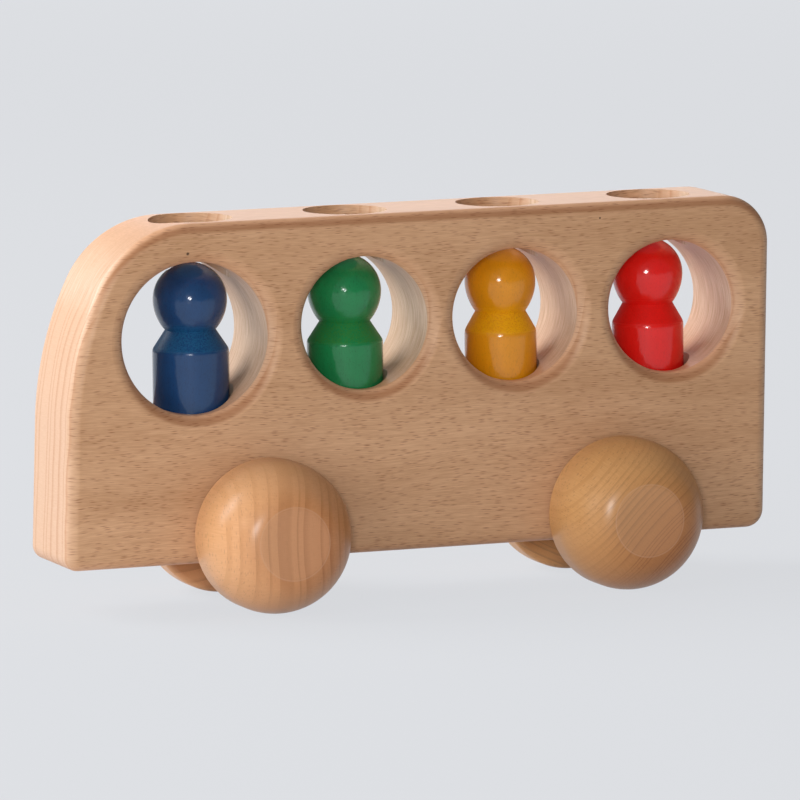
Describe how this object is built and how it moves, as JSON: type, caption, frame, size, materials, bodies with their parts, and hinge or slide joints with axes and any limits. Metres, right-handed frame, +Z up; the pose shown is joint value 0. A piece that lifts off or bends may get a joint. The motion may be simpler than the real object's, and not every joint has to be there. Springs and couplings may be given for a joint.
{
  "type": "toy bus",
  "caption": "Wooden toy bus: a rounded block with round windows on domed wheels, carrying turned peg figures that lift out through bores in the roof.",
  "frame": {"origin": "on the floor, under the centre of the bus's box", "axes": "+X along the bus towards its rear end (it drives towards -X), -Y its left side, +Z up"},
  "size_m": [0.2444, 0.0962, 0.1258],
  "materials": {
    "beech_body": "oiled satin beech",
    "beech_wheel": "oiled satin beech, turned",
    "beech_axle": "raw beech dowel",
    "blue_stain": "glossy blue stain on beech",
    "green_stain": "glossy green stain on beech",
    "yellow_stain": "glossy yellow stain on beech",
    "red_stain": "glossy red stain on beech"
  },
  "bodies": {
    "bus": {"bus_body": "beech_body"},
    "front_wheelset": {"front_axle": "beech_axle", "front_left_wheel": "beech_wheel", "front_right_wheel": "beech_wheel"},
    "rear_wheelset": {"rear_axle": "beech_axle", "rear_left_wheel": "beech_wheel", "rear_right_wheel": "beech_wheel"},
    "blue_figure": {"blue_figure": "blue_stain"},
    "green_figure": {"green_figure": "green_stain"},
    "yellow_figure": {"yellow_figure": "yellow_stain"},
    "red_figure": {"red_figure": "red_stain"}
  },
  "joints": [
    {"name": "front_axle_spin", "type": "hinge", "parent": "bus", "child": "front_wheelset", "pos_m": [-0.05515, 0, 0.0248], "axis": [0, -1, 0], "continuous": true},
    {"name": "rear_axle_spin", "type": "hinge", "parent": "bus", "child": "rear_wheelset", "pos_m": [0.06695, 0, 0.0248], "axis": [0, -1, 0], "continuous": true},
    {"name": "blue_figure_lift", "type": "slide", "parent": "bus", "child": "blue_figure", "axis": [0, 0, 1], "range_m": [0, 0.078]},
    {"name": "green_figure_lift", "type": "slide", "parent": "bus", "child": "green_figure", "axis": [0, 0, 1], "range_m": [0, 0.078]},
    {"name": "yellow_figure_lift", "type": "slide", "parent": "bus", "child": "yellow_figure", "axis": [0, 0, 1], "range_m": [0, 0.078]},
    {"name": "red_figure_lift", "type": "slide", "parent": "bus", "child": "red_figure", "axis": [0, 0, 1], "range_m": [0, 0.078]}
  ]
}
